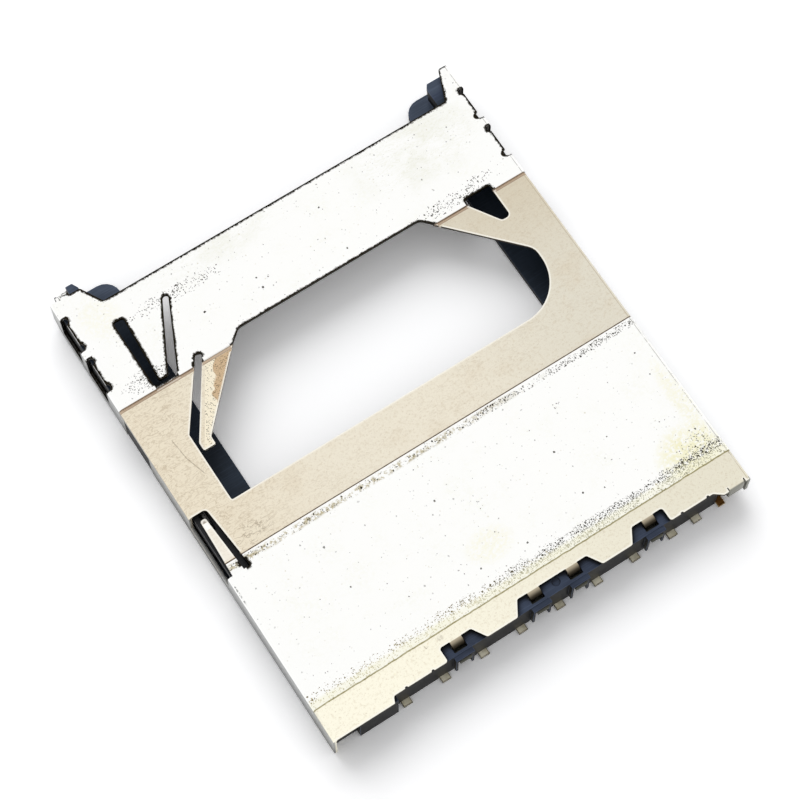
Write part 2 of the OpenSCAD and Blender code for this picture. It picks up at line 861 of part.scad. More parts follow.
module eject_spring() {
    coil_r = (spring_d - spring_wire) / 2;
    start_y = cam_rear_y + spring_wire / 2 + slide_gap / 2;
    end_y = seat_y - spring_wire / 2 - slide_gap / 2;
    rings = spring_turns * spring_steps;
    points = [
        for (i = [0 : rings], k = [0 : spring_sides - 1])
            let (
                a = 360 * i / spring_steps,
                b = 360 * k / spring_sides,
                r = coil_r + cos(b) * spring_wire / 2,
                y = start_y + (end_y - start_y) * i / rings + sin(b) * spring_wire / 2
            )
            [r * cos(a), y, r * sin(a)]
    ];
    walls = [
        for (i = [0 : rings - 1], k = [0 : spring_sides - 1])
            let (
                p = i * spring_sides + k,
                q = i * spring_sides + (k + 1) % spring_sides
            )
            each [[p, q, q + spring_sides], [p, q + spring_sides, p + spring_sides]]
    ];
    caps = [
        [for (k = [spring_sides - 1 : -1 : 0]) k],
        [for (k = [0 : spring_sides - 1]) rings * spring_sides + k]
    ];
    color("lightsteelblue")
        translate([bay_mid_x, 0, spring_axis_z])
            polyhedron(points, concat(walls, caps));
}

// Frame: pieces of the moulding
right_set = 0.35;
lip_left_in = 0.45;
lip_right_in = 0.3;
lip_l = 7.2;
lip_bevel = 0.2;
front_block_l = 8.15;
hook_clear = 0.08;
hook_pocket = 0.55;
rear_block_in = [4.16, 1.71];
rear_block_x = [for (d = rear_block_in) from_left(d)];
rear_block_out = 0.37;
bar_half_w = 0.59;
bar_out = 0.29;
bar_t = 0.3;
bar_drop = 0.05;
bar_low = frame_z - bar_drop - bar_t;
rib_low = 0.5;
tab_clear = 0.05;
tab_room = 0.19;
foot_window = 0.45;
beam_clear = 0.15;
switch_pocket_w = 1;
switch_pocket_l = 11.2;
mark_in = 1.36;
mark_back = 0.98;
mark_r = 0.26;
mark_depth = 0.08;
corner_r = 0.5;

module floor_plan() {
    upright(rounded([
        [frame_x, front_y],
        [frame_x, wall_rear_y],
        [-frame_x, wall_rear_y],
        [-frame_x, front_y],
        [ledge_right_x, front_y, ledge_r],
        [ledge_right_x, floor_front_y, corner_r],
        [ledge_left_x, floor_front_y, corner_r],
        [ledge_left_x, front_y, ledge_r]
    ]), 0, floor_t);
}
module rails() {
    box(-frame_x, -channel_x, front_y + right_set, wall_rear_y, floor_t - joint_lap, frame_z);
    box(channel_x, frame_x, front_y, front_y + front_block_l, floor_t - joint_lap, frame_z);
    box(channel_x, frame_x, front_y, block_end_y, floor_t - joint_lap, cam_top_z);
    for (side = [-1, 1])
        translate([side * (frame_x + (half_w - frame_x - lug_gap) / 2), 0, 0])
            box(-(half_w - frame_x) / 2, (half_w - frame_x - lug_gap) / 2,
                front_y + lug_front, front_y + lug_front + lug_l, 0, under_z - lug_top);
}
module lips() {
    lip_rear = front_y + lip_l;
    upright([
        [channel_x + joint_lap, front_y],
        [channel_x - lip_left_in + lip_bevel, front_y],
        [channel_x - lip_left_in, front_y + 2 * lip_bevel],
        [channel_x - lip_left_in, lip_rear],
        [channel_x + joint_lap, lip_rear]
    ], edge_z, frame_z);
    upright([
        [-channel_x - joint_lap, front_y + right_set],
        [-channel_x + lip_right_in - lip_bevel, front_y + right_set],
        [-channel_x + lip_right_in, front_y + right_set + 2 * lip_bevel],
        [-channel_x + lip_right_in, lip_rear],
        [-channel_x - joint_lap, lip_rear]
    ], edge_z, frame_z);
}
module rear_wall() {
    box(-frame_x, frame_x, wall_front_y, wall_rear_y, 0, frame_z);
    box(rear_block_x[0], rear_block_x[1], wall_rear_y - joint_lap, wall_rear_y + rear_block_out,
        0, frame_z);
    for (x = tab_x)
        box(x - bar_half_w, x + bar_half_w, wall_rear_y - joint_lap, wall_rear_y + bar_out,
            rib_low, frame_z - bar_drop);
}
module tab_pocket(x) {
    half = tab_w / 2 + tab_clear;
    box(x - half, x + half, tab_y - sheet_t - tab_clear, tab_y + tab_room, -overcut, above_z);
    box(x - foot_window, x + foot_window, tab_y - sheet_t - tab_clear, rear_y + overcut,
        -overcut, bar_low);
}
module contact_slot(id) {
    x = contact_x(id);
    beam = beam_root_w / 2 + beam_clear;
    tail = tail_w / 2 + contact_gap;
    box(x - beam, x + beam, crown_y(id) - beam_nose - beam_clear, wall_front_y, -overcut, floor_t + overcut);
    box(x - tail, x + tail, wall_front_y - joint_lap, rear_y + overcut, -overcut, contact_t + contact_gap);
}
module switch_bay() {
    box(-channel_x - switch_pocket_w, -channel_x + overcut, wall_front_y - switch_pocket_l,
        wall_front_y, floor_t, above_z);
    box(detect_x - leaf_t / 2 - leaf_gap, protect_x + leaf_t / 2 + leaf_gap,
        wall_front_y - joint_lap, leaf_root_y + leaf_gap, -overcut, above_z);
    box(common_x - leaf_t / 2 - leaf_gap, common_x + leaf_t / 2 + leaf_gap,
        wall_front_y - joint_lap, rear_y + overcut, common_low - leaf_gap, above_z);
    box(-frame_x - overcut, terminal_x[1] + leaf_gap, wall_rear_y - switch_recess,
        rear_y + overcut, -overcut, above_z);
}
module spring_seat() {
    difference() {
        box(slider_x0 - slide_gap, frame_x + overcut, wall_front_y - joint_lap, seat_y, floor_t, above_z);
        translate([bay_mid_x, seat_y - peg_l, spring_axis_z])
            rotate([-90, 0, 0])
                cylinder(d = peg_d, h = peg_l + joint_lap);
    }
}
module housing() {
    color([0.1, 0.11, 0.13])
        difference() {
            union() {
                floor_plan();
                rails();
                lips();
                rear_wall();
            }
            for (x = tab_x)
                tab_pocket(x);
            for (id = contact_ids)
                contact_slot(id);
            switch_bay();
            spring_seat();
            box(hook_x0 - hook_clear, frame_x + overcut, front_y - overcut,
                front_y + hook_pocket, -overcut, above_z);
            translate([bay_mid_x, pivot_y, cam_top_z - pivot_depth])
                cylinder(d = pin_d + 2 * pivot_clear, h = pivot_depth + overcut);
            translate([tab_x[1] - mark_in, rear_y - mark_back, frame_z - mark_depth])
                cylinder(r = mark_r, h = overcut);
        }
}

shell();
housing();
for (id = contact_ids)
    contact(id);
switch_common();
detect_arm();
protect_arm();
slider();
eject_spring();
cam_pin();
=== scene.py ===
import math

import bmesh
import bpy
from mathutils import Matrix, Quaternion, Vector
from mathutils.geometry import intersect_point_line


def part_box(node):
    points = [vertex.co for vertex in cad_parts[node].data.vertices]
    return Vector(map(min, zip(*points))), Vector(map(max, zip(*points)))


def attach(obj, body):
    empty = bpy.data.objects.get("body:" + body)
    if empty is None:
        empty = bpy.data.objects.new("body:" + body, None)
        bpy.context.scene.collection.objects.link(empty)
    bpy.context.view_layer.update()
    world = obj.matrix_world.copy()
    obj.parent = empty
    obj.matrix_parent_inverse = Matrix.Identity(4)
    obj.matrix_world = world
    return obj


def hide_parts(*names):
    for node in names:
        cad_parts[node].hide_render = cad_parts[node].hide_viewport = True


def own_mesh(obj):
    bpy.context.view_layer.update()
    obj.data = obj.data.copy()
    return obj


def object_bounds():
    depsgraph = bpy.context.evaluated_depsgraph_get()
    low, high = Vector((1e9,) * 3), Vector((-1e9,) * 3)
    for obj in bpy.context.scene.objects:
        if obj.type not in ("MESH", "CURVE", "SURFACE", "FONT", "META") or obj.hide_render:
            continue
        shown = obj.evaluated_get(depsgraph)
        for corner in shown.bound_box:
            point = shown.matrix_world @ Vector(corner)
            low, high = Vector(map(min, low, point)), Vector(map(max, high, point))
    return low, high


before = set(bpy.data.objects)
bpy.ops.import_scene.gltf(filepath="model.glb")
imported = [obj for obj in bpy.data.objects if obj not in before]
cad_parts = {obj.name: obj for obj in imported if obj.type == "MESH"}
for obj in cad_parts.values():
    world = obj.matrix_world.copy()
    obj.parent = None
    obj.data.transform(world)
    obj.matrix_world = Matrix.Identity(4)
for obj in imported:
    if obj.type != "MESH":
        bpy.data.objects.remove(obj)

cad_low, cad_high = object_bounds()

# Frame: one black moulding of glass-filled plastic, U-shaped in plan, that carries all the rest.
# Its floor ledges and rails guide the card, and its rear wall holds the contacts.
# The mould leaves every edge slightly broken and every face with a fine, dull grain.
MM = 0.001
frame_edge = 0.02 * MM
nose_y = -14.1
rail_front_y = -13.6
rear_wall_y = 12.6
contact_shade_reach = 0.4


class Shade:
    """A socket of one material's nodes; Python sums on it become Math nodes."""

    def __init__(self, tree, socket=None):
        self.tree = tree
        self.socket = socket

    def node(self, kind, settings=None, sockets=None, output=0):
        """Adds a node, sets its settings, fills its sockets and returns one of its outputs."""
        made = self.tree.nodes.new(kind)
        for name, value in (settings or {}).items():
            setattr(made, name, value)
        for name, value in (sockets or {}).items():
            pin = next(p for p in made.inputs if name in (p.identifier, p.name))
            if isinstance(value, Shade):
                self.tree.links.new(value.socket, pin)
            else:
                pin.default_value = value
        if isinstance(output, str):
            found = next(p for p in made.outputs if output in (p.identifier, p.name))
            return Shade(self.tree, found)
        return Shade(self.tree, made.outputs[output])

    def out(self, name):
        """Another output of the node that this socket belongs to."""
        return Shade(self.tree, self.socket.node.outputs[name])

    def math(self, operation, first, second=0.0):
        return self.node(
            "ShaderNodeMath", {"operation": operation}, {"Value": first, "Value_001": second})

    def __add__(self, other):
        return self.math("ADD", self, other)

    def __sub__(self, other):
        return self.math("SUBTRACT", self, other)

    def __rsub__(self, other):
        return self.math("SUBTRACT", other, self)

    def __mul__(self, other):
        return self.math("MULTIPLY", self, other)

    def __abs__(self):
        return self.math("ABSOLUTE", self)

    __radd__ = __add__
    __rmul__ = __mul__

    def most(self, other):
        return self.math("MAXIMUM", self, other)

    def rise(self, low, high):
        """0 below low, 1 above high, and a smooth rise between them."""
        return self.node(
            "ShaderNodeMapRange", {"interpolation_type": "SMOOTHSTEP"},
            {"Value": self, "From Min": low, "From Max": high})

    def band(self, low, high, soft):
        """1 between low and high, with soft ends."""
        return self.rise(low - soft, low + soft) * (1 - self.rise(high - soft, high + soft))

    def near(self, middle, reach, soft):
        """1 within a reach on both sides of a middle, with soft ends."""
        return self.band(middle - reach, middle + reach, soft)

    def tint(self, under, over):
        """The colour under where this is 0, and over where it is 1."""
        return self.node(
            "ShaderNodeMix", {"data_type": "RGBA"},
            {"Factor_Float": self, "A_Color": under, "B_Color": over}, "Result_Color")

    def part(self, axis):
        """One of the three numbers of a vector."""
        return self.node("ShaderNodeSeparateXYZ", None, {"Vector": self}, axis)

    def facing(self):
        """The way that the surface faces."""
        return self.node("ShaderNodeNewGeometry", output="Normal")

    def rim(self):
        """1 on a piece's broken edges, from the attribute of its faces."""
        return self.node("ShaderNodeAttribute", {"attribute_name": "rim"}, output="Fac")

    def lean(self, reach, samples):
        """0 on flat ground, and more where an edge is within a reach in millimetres."""
        turned = self.node("ShaderNodeBevel", {"samples": samples}, {"Radius": reach * MM})
        return 1 - self.node(
            "ShaderNodeVectorMath", {"operation": "DOT_PRODUCT"},
            {"Vector": turned, "Vector_001": self.facing()}, "Value")

    def grain(self, place, scale, detail=2.0, rough=0.5, distortion=0.0):
        """Cloudy noise between about 0.2 and 0.8 at a number of waves per millimetre."""
        return self.node(
            "ShaderNodeTexNoise", None,
            {"Vector": place, "Scale": scale, "Detail": detail, "Roughness": rough,
             "Distortion": distortion}, "Fac")

    def streaks(self, place, waves, detail=2.0):
        """Noise with its own number of waves per millimetre along each axis."""
        stretched = self.node("ShaderNodeMapping", None, {"Vector": place, "Scale": waves})
        return self.grain(stretched, 1.0, detail)

    def bump(self, height, strength, depth):
        """A normal from a height that is given in parts of a depth in millimetres."""
        return self.node(
            "ShaderNodeBump", None,
            {"Strength": strength, "Distance": depth * MM, "Height": height})


def new_finish(name, **constants):
    """A new material with constant sockets set, its node maker, and the place on the piece in mm."""
    material = bpy.data.materials.new(name)
    material.use_nodes = True
    tree = material.node_tree
    shader = tree.nodes["Principled BSDF"]
    for socket, value in constants.items():
        shader.inputs[socket.replace("_", " ")].default_value = value
    maker = Shade(tree)
    here = maker.node("ShaderNodeTexCoord", output="Object")
    place = maker.node(
        "ShaderNodeVectorMath", {"operation": "SCALE"}, {"Vector": here, "Scale": 1 / MM})
    return material, maker, place


def feed(material, **shades):
    """Links what changes over the surface to the shader's sockets."""
    tree = material.node_tree
    shader = tree.nodes["Principled BSDF"]
    for socket, shade in shades.items():
        tree.links.new(shade.socket, shader.inputs[socket.replace("_", " ")])


def rgb(*screen):
    """A screen colour of 0 to 255 as the linear colour that the shader takes."""
    linear = (((c / 255 + 0.055) / 1.055) ** 2.4 if c > 10 else c / 3294 for c in screen)
    return tuple(linear) + (1.0,)


def mean_width(face):
    """How wide a face is across its longest edge, on average."""
    return face.calc_area() / max(edge.calc_length() for edge in face.edges)


def gap(first, second):
    """The least distance between two edges, from their ends and middles."""
    least = math.inf
    for one, two in ((first, second), (second, first)):
        start, end = (vert.co for vert in two.verts)
        low, high = (vert.co for vert in one.verts)
        for point in (low, high, (low + high) / 2):
            near, part = intersect_point_line(point, start, end)
            near = start if part < 0 else end if part > 1 else near
            least = min(least, (near - point).length)
    return least


# Two sides of a face are opposite below this cosine, and each broken one takes its share of room,
# counted in widths of the broken edge
opposite = -0.3
room_for_both = 2.3
room_for_one = 1.3


def crowded(face, sharp, width):
    """The edges of a face that face each other with too little room between them to be broken."""
    sides = []
    for loop in face.loops:
        run = loop.link_loop_next.vert.co - loop.vert.co
        sides.append((loop.edge, face.normal.cross(run).normalized()))
    tight = set()
    for i, (one, inward) in enumerate(sides):
        for two, other in sides[i + 1:]:
            if inward.dot(other) > opposite or not (one in sharp or two in sharp):
                continue
            if set(one.verts) & set(two.verts):
                continue
            room = room_for_both if one in sharp and two in sharp else room_for_one
            if gap(one, two) < room * width:
                tight.update((one, two))
    return tight


def place_mesh(work, name):
    """An object in the scene from finished work, which is freed."""
    mesh = bpy.data.meshes.new(name)
    work.to_mesh(mesh)
    work.free()
    made = bpy.data.objects.new(name, mesh)
    bpy.context.scene.collection.objects.link(made)
    return made


weld_reach = 1e-8
flat_angle = math.radians(0.5)
crease_angle = math.radians(1.0)
sharp_angle = math.radians(28)
facet_width = 0.13 * MM


def broken_edges(node, width):
    """A piece that stands for a CAD node, with the same form and its sharp edges broken.
    Its faces carry an attribute, rim, that is 1 on the broken edges. Bends of narrow facets
    are shaded smooth, and wide flat faces keep their crisp creases."""
    work = bmesh.new()
    work.from_mesh(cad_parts[node].data)
    bmesh.ops.remove_doubles(work, verts=work.verts, dist=weld_reach)
    bmesh.ops.dissolve_limit(work, angle_limit=flat_angle, verts=work.verts, edges=work.edges)
    rim = work.faces.layers.float.new("rim")
    sharp = {
        edge for edge in work.edges
        if len(edge.link_faces) == 2 and edge.calc_face_angle() > sharp_angle}
    tight = set().union(*(crowded(face, sharp, width) for face in work.faces))
    made = bmesh.ops.bevel(
        work, geom=[edge for edge in work.edges if edge in sharp and edge not in tight],
        offset=width, offset_type="OFFSET", segments=2, profile=0.5,
        affect="EDGES", clamp_overlap=False, material=-1)
    for face in made["faces"]:
        face[rim] = 1.0
    for face in work.faces:
        face.smooth = True
    for edge in work.edges:
        sides = edge.link_faces
        if len(sides) == 2 and not sides[0][rim] and not sides[1][rim]:
            wide = max(mean_width(sides[0]), mean_width(sides[1])) > facet_width
            edge.smooth = not (wide and edge.calc_face_angle() > crease_angle)
    piece = place_mesh(work, node + "_worked")
    weighted = piece.modifiers.new("flat_faces", "WEIGHTED_NORMAL")
    weighted.keep_sharp = True
    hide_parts(node)
    return piece


def dress(piece, material, body):
    """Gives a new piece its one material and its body."""
    piece.data.materials.clear()
    piece.data.materials.append(material)
    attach(piece, body)


plastic, maker, place = new_finish("moulded_black", Specular_IOR_Level=0.12)
flow = maker.grain(place, scale=0.35, detail=3.0)
drag = maker.streaks(place, waves=(0.7, 16.0, 16.0), detail=3.0)
pores = maker.grain(place, scale=9.0, detail=4.0, rough=0.6)
up = maker.facing().part("Z")
along = place.part("Y")
rim = maker.rim()
# Painted light: on the broken edges the grain is pushed to its light end, a painted highlight. The
# tops are painted lighter than the sides, and the nose at the front lighter still, as if more lit.
# The tops between the nose and the rear wall are painted darker, as painted shade.
mix = (flow.rise(0.3, 0.7) * 0.6 + drag.rise(0.45, 0.75) * 0.4).most(rim)
lit_wall_top = mix.tint(rgb(48, 55, 70), rgb(76, 87, 109))
shaded_rail_top = mix.tint(rgb(34, 40, 48), rgb(56, 66, 80))
lit_nose_top = mix.tint(rgb(62, 70, 84), rgb(92, 103, 122))
lit_and_shaded_top = along.band(rail_front_y, rear_wall_y, 0.3).tint(lit_wall_top, shaded_rail_top)
lit_and_shaded_top = (1 - along.rise(nose_y - 0.2, nose_y + 0.2)).tint(lit_and_shaded_top, lit_nose_top)
black = rim.most(up.rise(0.2, 0.9)).tint(mix.tint(rgb(9, 9, 9), rgb(18, 18, 18)), lit_and_shaded_top)
# Painted shade: an ambient occlusion node paints the rear wall's plastic near-black where the sheet
# lies close to it, a painted contact shadow.
open_air = maker.node(
    "ShaderNodeAmbientOcclusion", {"samples": 8}, {"Distance": contact_shade_reach * MM}, "AO")
painted_contact_shade = (1 - open_air.rise(0.6, 0.97)) * along.rise(rear_wall_y - 0.1, rear_wall_y)
feed(
    plastic,
    Base_Color=(painted_contact_shade * 0.9).tint(black, rgb(5, 5, 6)),
    Roughness=0.4 + flow * 0.2,
    Normal=maker.bump(pores + drag * 0.6, strength=0.15, depth=0.02))
dress(broken_edges("housing", frame_edge), plastic, "socket_frame")


# Contacts: nine spring strips stamped from bronze, bent up to a crown under the card's pads.
# Their tails leave the frame at the rear and lie on the board.
# The plating is a thin, pale gold that has dulled towards olive. It is painted dark along its edges,
# and the faces that don't face up are painted dark as painted shade.
contact_edge = 0.02 * MM
outline_reach = 0.1
gold, maker, place = new_finish("dull_gold", Metallic=1.0)
cloud = maker.grain(place, scale=2.2, detail=3.0)
streak = maker.streaks(place, waves=(14.0, 1.2, 14.0))
up = maker.facing().part("Z")
outline = maker.lean(outline_reach, samples=6).rise(0.0, 0.02) * 0.9
top = cloud.rise(0.3, 0.7).tint(rgb(212, 204, 178), rgb(244, 238, 216))
feed(
    gold,
    # Painted shade: the faces that don't face up are painted dark brown under the pale tops, and the
    # edges are painted dark too.
    Base_Color=outline.tint(up.rise(0.3, 0.8).tint(rgb(62, 56, 40), top), rgb(66, 59, 42)),
    Roughness=0.3 + streak * 0.25,
    Normal=maker.bump(streak, strength=0.15, depth=0.01))
for number in range(1, 10):
    dress(broken_edges(f"contact_{number}", contact_edge), gold, "socket_frame")


# Switches: two spring leaves in the rail that the card pushes, and the common strip beside them.
# All three are bronze strip pressed into slots of the frame; the common strip's end is soldered
# to the board at the rear corner, and its bare bronze has gone brown.
for leaf in ("detect_arm", "protect_arm"):
    dress(broken_edges(leaf, contact_edge), gold, "socket_frame")
bronze, maker, place = new_finish("brown_bronze", Metallic=1.0)
cloud = maker.grain(place, scale=3.0, detail=4.0)
brown = cloud.rise(0.3, 0.7).tint(rgb(58, 37, 14), rgb(98, 66, 30))
feed(
    bronze,
    Base_Color=(maker.rim() * 0.6).tint(brown, rgb(206, 184, 140)),
    Roughness=0.28 + cloud * 0.2)
dress(broken_edges("switch_common", contact_edge), bronze, "socket_frame")


# Slider: a black moulding in the bay beside the card, with the heart-shaped track on top.
# The card's cut corner pushes its foot, and the spring behind it pushes back.
slider_edge = 0.03 * MM
slider_black, maker, place = new_finish("slider_black", Specular_IOR_Level=0.3)
flow = maker.grain(place, scale=0.8, detail=3.0)
pores = maker.grain(place, scale=11.0, detail=3.0)
feed(
    slider_black,
    Base_Color=flow.rise(0.3, 0.7).tint(rgb(30, 31, 34), rgb(42, 43, 46)),
    Roughness=0.4 + pores * 0.15,
    Normal=maker.bump(pores, strength=0.1, depth=0.01))
dress(broken_edges("slider", slider_edge), slider_black, "push_slider")


# Spring: hard steel wire wound into a close coil between the slider and a seat in the rear wall.
# Both ends are closed. In the real socket it shortens as the slider goes in; this coil keeps one
# length.
spring_low, spring_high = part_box("eject_spring")
spring_turns = 16
closed_turns = 1.5
wire_d = 0.15 * MM
wire_sides = 10
steps_per_turn = 20
coil_x = (spring_low.x + spring_high.x) / 2
coil_z = (spring_low.z + spring_high.z) / 2
coil_r = (spring_high.x - spring_low.x - wire_d) / 2
coil_start_y = spring_low.y + wire_d / 2
coil_l = spring_high.y - spring_low.y - wire_d


def coil_rise(turn):
    """How far along the spring a turn lies, with its end turns wound close together."""
    open_turns = spring_turns - 2 * closed_turns
    pitch = (coil_l - 2 * closed_turns * wire_d) / open_turns
    inner = min(max(turn - closed_turns, 0), open_turns)
    outer = min(turn, closed_turns) + max(turn - spring_turns + closed_turns, 0)
    return inner * pitch + outer * wire_d


work = bmesh.new()
ring = bmesh.ops.create_circle(
    work, cap_ends=True, segments=wire_sides, radius=wire_d / 2)["verts"]
bmesh.ops.translate(work, verts=ring, vec=(coil_x + coil_r, 0, coil_z))
loop = list(work.edges)
one_step = Matrix.Rotation(math.tau / steps_per_turn, 3, "Y")
for step in range(spring_turns * steps_per_turn):
    made = bmesh.ops.extrude_edge_only(work, edges=loop)["geom"]
    ring = [item for item in made if isinstance(item, bmesh.types.BMVert)]
    loop = [
        item for item in made
        if isinstance(item, bmesh.types.BMEdge) and all(vert in ring for vert in item.verts)]
    advance = coil_rise((step + 1) / steps_per_turn) - coil_rise(step / steps_per_turn)
    bmesh.ops.rotate(work, verts=ring, cent=(coil_x, 0, coil_z), matrix=one_step)
    bmesh.ops.translate(work, verts=ring, vec=(0, advance, 0))
bmesh.ops.edgeloop_fill(work, edges=loop)
bmesh.ops.translate(work, verts=work.verts, vec=(0, coil_start_y, 0))
bmesh.ops.recalc_face_normals(work, faces=work.faces)
for face in work.faces:
    face.smooth = len(face.verts) == 4
coil = place_mesh(work, "coil_spring")
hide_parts("eject_spring")
wire, maker, place = new_finish("drawn_wire", Metallic=1.0)
drawn = maker.grain(place, scale=12.0, detail=3.0)
feed(
    wire,
    Base_Color=drawn.rise(0.3, 0.7).tint(rgb(168, 168, 166), rgb(205, 204, 200)),
    Roughness=0.22 + drawn * 0.2)
dress(coil, wire, "socket_frame")
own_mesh(coil)


# Cam pin: a short steel wire with both ends bent down, one in a hole of the frame and one in
# the slider's track, so that it swings as the slider moves.
pin_edge = 0.01 * MM
oiled, maker, place = new_finish("oiled_wire", Metallic=1.0)
drawn = maker.grain(place, scale=12.0, detail=3.0)
feed(
    oiled,
    Base_Color=drawn.rise(0.3, 0.7).tint(rgb(58, 58, 60), rgb(92, 91, 90)),
    Roughness=0.3 + drawn * 0.2)
dress(broken_edges("cam_pin", pin_edge), oiled, "cam_link")


# Shell: one plated steel sheet, stamped with its window, slots and tongues and folded over the
# frame; bent tabs at the rear are clinched under bars of the frame. The front and rear panels are
# bright and pitted; the band between them and the rear strip are satin and cream.
shell_edge = 0.02 * MM
front_panel_l = 8.25
rear_panel_l = 9.45
rear_strip_l = 2.0
fold_r = 0.24
front_y = cad_low.y / MM
step_front_y = front_y + front_panel_l
step_rear_y = cad_high.y / MM - rear_strip_l
step_mid_y = step_rear_y - rear_panel_l
side_x = cad_high.x / MM


def bands(value, spans, soft):
    """1 inside any of several spans that lie apart."""
    return sum(value.band(low, high, soft) for low, high in spans)


def patch(x, y, centre, reach):
    """1 in the middle of an oval on the plan, and 0 outside it, with a soft slope between."""
    across = (x - centre[0]) * (1 / reach[0])
    along = (y - centre[1]) * (1 / reach[1])
    return 1 - (across * across + along * along).rise(0.05, 1.0)


def spots(x, y, marks):
    """Ovals on the plan, each with its middle, its half lengths and its strength."""
    return sum(patch(x, y, centre, reach) * strength for centre, reach, strength in marks)


def scratch(x, y, start, end, width):
    """1 on a fine straight line on the plan."""
    run = Vector(end) - Vector(start)
    way = run.normalized()
    along = (x - start[0]) * way.x + (y - start[1]) * way.y
    off = abs((y - start[1]) * way.x - (x - start[0]) * way.y)
    return along.band(0, run.length, width) * (1 - off.rise(width * 0.3, width))


def pits(maker, place, per_mm, share, size):
    """Round dark pits, one to a cell of a loose grid; share is how many of the cells have one."""
    cell = maker.node(
        "ShaderNodeTexVoronoi", {"voronoi_dimensions": "2D", "feature": "F1"},
        {"Vector": place, "Scale": per_mm, "Randomness": 1.0}, "Distance")
    chance = maker.node("ShaderNodeSeparateColor", None, {"Color": cell.out("Color")}, "Red")
    reach = (0.35 + chance.out("Green") * 0.65) * size
    spot = 1 - (cell - reach).rise(-0.1 * size, 0.3 * size)
    return (share - chance).rise(-0.01, 0.01) * spot


# The sheet's zones: bright panels, satin band and strip, steps, folds and openings
plate, maker, place = new_finish("plated_sheet", Metallic=1.0)
x = place.part("X")
y = x.out("Y")
z = x.out("Z")
across = abs(x)
up = maker.facing().part("Z")
level = up.rise(0.6, 0.9)
switch_side = 0.5 - x * (0.5 / side_x)
line_soft = 0.012
in_front = 1 - y.rise(step_front_y - line_soft, step_front_y + line_soft)
in_rear = y.band(step_mid_y, step_rear_y, line_soft)
in_strip = y.rise(step_rear_y - line_soft, step_rear_y + line_soft)
bright = in_front + in_rear
inner = 1 - across.rise(side_x - fold_r - 0.02, side_x - fold_r + 0.02)
sheet_low_z = 2.3
on_top = z.rise(sheet_low_z, sheet_low_z + 0.1)
cut_soft = 0.02
window_x = (-7.5, 6.3)
pad_slot_x = (8.0, 8.75)
brake_slot_x = (9.6, 11.1)
corner_hole_x = (-11.5, -9.5)
openings = bands(x, (window_x, pad_slot_x, brake_slot_x, corner_hole_x), cut_soft)
front_riser = 0.26
panel_riser = 0.2
pin_root_x = (12.35, 13.3)
pin_root_y = (4.3, 4.8)
riser = (
    y.near(step_front_y, front_riser, cut_soft) * (1 - openings)
    + y.near(step_front_y, cut_soft, cut_soft) * openings
    + y.near(step_mid_y, panel_riser, cut_soft)
    + y.near(step_rear_y, panel_riser, cut_soft)
    + x.band(*pin_root_x, cut_soft) * y.band(*pin_root_y, cut_soft))
fold_slots_y = [(front_y + start, front_y + end) for start, end in ((1.7, 4.1), (4.55, 6.95))]
slot_zone = bands(y, fold_slots_y, cut_soft)
fold_w = 0.65
hook_l = 0.4
fold = across.rise(side_x - fold_w, side_x - fold_w + 0.05) * (1 - slot_zone)
fold = fold * y.rise(front_y + hook_l, front_y + hook_l + 0.1)

# Satin: a cream plating with slanted creases and a leathery grain. Its side-to-side change, lighter
# on the slider side and greyer on the switch side, is painted reflection.
cloud = maker.grain(place, scale=0.45, detail=4.0, rough=0.6)
leather = maker.grain(place, scale=5.5, detail=4.0, rough=0.65)
fine = maker.grain(place, scale=15.0, detail=2.0, rough=0.6)
patches = maker.grain(place, scale=0.9, detail=3.0, rough=0.6)
grey_l = 7
grey_corner = switch_side.rise(0.6, 0.95) * (1 - y.rise(step_front_y, step_front_y + grey_l))
# Painted reflection: the cream is lighter on the slider side and greyer towards the switch side, as
# the reflected light changes across the sheet.
satin = switch_side.rise(0.0, 0.35).tint(rgb(238, 228, 207), rgb(239, 232, 215))
satin = (switch_side.rise(0.55, 0.95) * 0.9).tint(satin, rgb(227, 222, 207))
satin = grey_corner.tint(satin, rgb(219, 210, 190))
# Painted reflection: the strip is likewise paler on the slider side and greyer on the switch side.
strip = switch_side.rise(0.1, 1.0).tint(rgb(255, 251, 233), rgb(234, 229, 211))
satin = in_strip.tint(satin, strip)
satin = (cloud.rise(0.5, 0.75) * 0.3 * (1 - in_strip)).tint(satin, rgb(220, 205, 180))
slanted = maker.node("ShaderNodeMapping", None, {
    "Vector": place, "Rotation": (0.0, 0.0, 0.5), "Scale": (1.0, 2.6, 1.0)})
crease = maker.grain(slanted, scale=1.6, detail=2.5, rough=0.55, distortion=1.0)
crease = 1 - abs(crease - 0.5).rise(0.005, 0.05)
creased = 0.12 + patches.rise(0.4, 0.65) * 0.3 + (1 - switch_side).rise(0.72, 0.95) * 0.6
creased = creased * (1 - in_strip)
satin = (crease * creased * 0.42).tint(satin, rgb(178, 160, 134))
satin = (leather.rise(0.5, 0.68) * 0.3).tint(satin, rgb(205, 190, 164))
satin = (fine.rise(0.6, 0.72) * 0.4).tint(satin, rgb(186, 168, 148))

# Bright panels: nearly white, with yellow stains and a faint mottle
stain = spots(x, y, (
    ((-11.6, step_rear_y - 1.0), (2.3, 2.0), 0.75),
    ((-12.9, step_rear_y - 4.0), (0.7, 3.2), 0.35),
    ((0.6, 10.6), (1.7, 1.2), 0.3),
    ((11.6, -12.4), (1.6, 1.6), 0.2)))
mottle = spots(x, y, (
    ((-9.0, -11.6), (5.0, 3.0), 1.0),
    ((4.0, -13.0), (7.0, 2.0), 0.7)))
dull = cloud.rise(0.45, 0.7) * leather.rise(0.4, 0.65) * 0.35
panel = dull.tint(rgb(254, 254, 252), rgb(244, 244, 232))
mottled = mottle * crease * 0.25 + mottle * cloud.rise(0.4, 0.65) * 0.25
panel = mottled.tint(panel, rgb(226, 226, 206))
panel = (stain * leather.rise(0.3, 0.62)).tint(panel, rgb(240, 235, 186))
colour = bright.tint(satin, panel)
